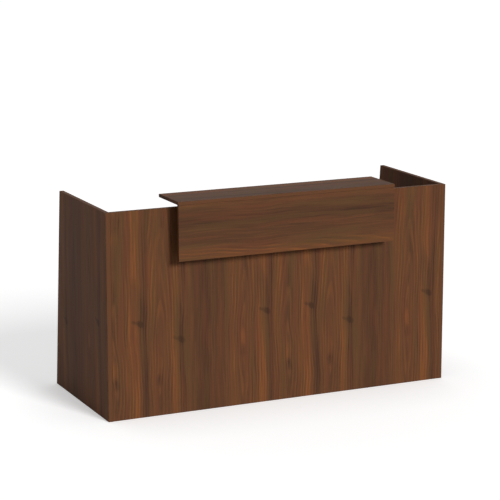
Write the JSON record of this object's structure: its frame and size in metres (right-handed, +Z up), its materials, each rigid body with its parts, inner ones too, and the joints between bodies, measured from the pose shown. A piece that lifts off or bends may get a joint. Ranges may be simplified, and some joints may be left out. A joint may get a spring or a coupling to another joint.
{
  "type": "reception desk",
  "caption": "Free-standing walnut-finish reception desk with tapered end panels, a full-height front panel, a seated worktop behind it and a raised counter shelf with a hanging fascia.",
  "frame": {"origin": "on the floor, in the middle of the footprint box", "axes": "+X along the front to the visitor's right, +Y from the visitor's side to the seated side, +Z up"},
  "size_m": [2, 0.894, 1.15],
  "materials": {
    "walnut_board": "satin",
    "black_steel": "satin",
    "zinc_steel": "satin",
    "black_plastic": "matte",
    "beech": "matte"
  },
  "bodies": {
    "desk": {"cam_bolt_left_high": "zinc_steel", "cam_bolt_left_low": "zinc_steel", "cam_bolt_left_middle": "zinc_steel", "cam_bolt_right_high": "zinc_steel", "cam_bolt_right_low": "zinc_steel", "cam_bolt_right_middle": "zinc_steel", "cam_left_high": "zinc_steel", "cam_left_low": "zinc_steel", "cam_left_middle": "zinc_steel", "cam_right_high": "zinc_steel", "cam_right_low": "zinc_steel", "cam_right_middle": "zinc_steel", "counter_bracket_centre": "black_steel", "counter_bracket_left": "black_steel", "counter_bracket_right": "black_steel", "counter_fascia": "walnut_board", "counter_top": "walnut_board", "dowel_left_high": "beech", "dowel_left_low": "beech", "dowel_right_high": "beech", "dowel_right_low": "beech", "fascia_bolt_left": "zinc_steel", "fascia_bolt_right": "zinc_steel", "fascia_spacer_left": "zinc_steel", "fascia_spacer_right": "zinc_steel", "front_panel": "walnut_board", "grommet_sleeve_left": "black_plastic", "grommet_sleeve_right": "black_plastic", "left_end_panel": "walnut_board", "leveller_bracket_front_left": "zinc_steel", "leveller_bracket_front_right": "zinc_steel", "leveller_bracket_panel_left": "zinc_steel", "leveller_bracket_panel_right": "zinc_steel", "leveller_bracket_rear_left": "zinc_steel", "leveller_bracket_rear_right": "zinc_steel", "right_end_panel": "walnut_board", "worktop": "walnut_board", "worktop_angle_front": "black_steel", "worktop_angle_left": "black_steel", "worktop_angle_right": "black_steel", "worktop_stiffener": "black_steel"},
    "pad_front_left": {"leveller_pad_front_left": "black_plastic"},
    "stem_front_left": {"leveller_stem_front_left": "zinc_steel"},
    "pad_rear_left": {"leveller_pad_rear_left": "black_plastic"},
    "stem_rear_left": {"leveller_stem_rear_left": "zinc_steel"},
    "pad_panel_left": {"leveller_pad_panel_left": "black_plastic"},
    "stem_panel_left": {"leveller_stem_panel_left": "zinc_steel"},
    "pad_front_right": {"leveller_pad_front_right": "black_plastic"},
    "stem_front_right": {"leveller_stem_front_right": "zinc_steel"},
    "pad_rear_right": {"leveller_pad_rear_right": "black_plastic"},
    "stem_rear_right": {"leveller_stem_rear_right": "zinc_steel"},
    "pad_panel_right": {"leveller_pad_panel_right": "black_plastic"},
    "stem_panel_right": {"leveller_stem_panel_right": "zinc_steel"},
    "cap_left": {"grommet_cap_left": "black_plastic"},
    "cap_right": {"grommet_cap_right": "black_plastic"}
  },
  "joints": [
    {"name": "pad_slide_front_left", "type": "slide", "parent": "desk", "child": "pad_front_left", "axis": [0, 0, -1], "range_m": [0, 0.02]},
    {"name": "stem_turn_front_left", "type": "hinge", "parent": "pad_front_left", "child": "stem_front_left", "pos_m": [-0.951, -0.263, 0.03], "axis": [0, 0, -1], "range_deg": [0, 4800]},
    {"name": "pad_slide_rear_left", "type": "slide", "parent": "desk", "child": "pad_rear_left", "axis": [0, 0, -1], "range_m": [0, 0.02]},
    {"name": "stem_turn_rear_left", "type": "hinge", "parent": "pad_rear_left", "child": "stem_rear_left", "pos_m": [-0.951, 0.372, 0.03], "axis": [0, 0, -1], "range_deg": [0, 4800]},
    {"name": "pad_slide_panel_left", "type": "slide", "parent": "desk", "child": "pad_panel_left", "axis": [0, 0, -1], "range_m": [0, 0.02]},
    {"name": "stem_turn_panel_left", "type": "hinge", "parent": "pad_panel_left", "child": "stem_panel_left", "pos_m": [-0.45, -0.314, 0.03], "axis": [0, 0, -1], "range_deg": [0, 4800]},
    {"name": "pad_slide_front_right", "type": "slide", "parent": "desk", "child": "pad_front_right", "axis": [0, 0, -1], "range_m": [0, 0.02]},
    {"name": "stem_turn_front_right", "type": "hinge", "parent": "pad_front_right", "child": "stem_front_right", "pos_m": [0.951, -0.263, 0.03], "axis": [0, 0, -1], "range_deg": [0, 4800]},
    {"name": "pad_slide_rear_right", "type": "slide", "parent": "desk", "child": "pad_rear_right", "axis": [0, 0, -1], "range_m": [0, 0.02]},
    {"name": "stem_turn_rear_right", "type": "hinge", "parent": "pad_rear_right", "child": "stem_rear_right", "pos_m": [0.951, 0.372, 0.03], "axis": [0, 0, -1], "range_deg": [0, 4800]},
    {"name": "pad_slide_panel_right", "type": "slide", "parent": "desk", "child": "pad_panel_right", "axis": [0, 0, -1], "range_m": [0, 0.02]},
    {"name": "stem_turn_panel_right", "type": "hinge", "parent": "pad_panel_right", "child": "stem_panel_right", "pos_m": [0.45, -0.314, 0.03], "axis": [0, 0, -1], "range_deg": [0, 4800]},
    {"name": "cap_turn_left", "type": "hinge", "parent": "desk", "child": "cap_left", "pos_m": [-0.6, -0.228, 0.74], "axis": [0, 0, 1], "continuous": true},
    {"name": "cap_turn_right", "type": "hinge", "parent": "desk", "child": "cap_right", "pos_m": [0.6, -0.228, 0.74], "axis": [0, 0, 1], "continuous": true}
  ],
  "couplings": [
    {"joint": "stem_turn_front_left", "follows": "pad_slide_front_left", "rad_per_m": 4188.8},
    {"joint": "stem_turn_rear_left", "follows": "pad_slide_rear_left", "rad_per_m": 4188.8},
    {"joint": "stem_turn_panel_left", "follows": "pad_slide_panel_left", "rad_per_m": 4188.8},
    {"joint": "stem_turn_front_right", "follows": "pad_slide_front_right", "rad_per_m": 4188.8},
    {"joint": "stem_turn_rear_right", "follows": "pad_slide_rear_right", "rad_per_m": 4188.8},
    {"joint": "stem_turn_panel_right", "follows": "pad_slide_panel_right", "rad_per_m": 4188.8}
  ]
}
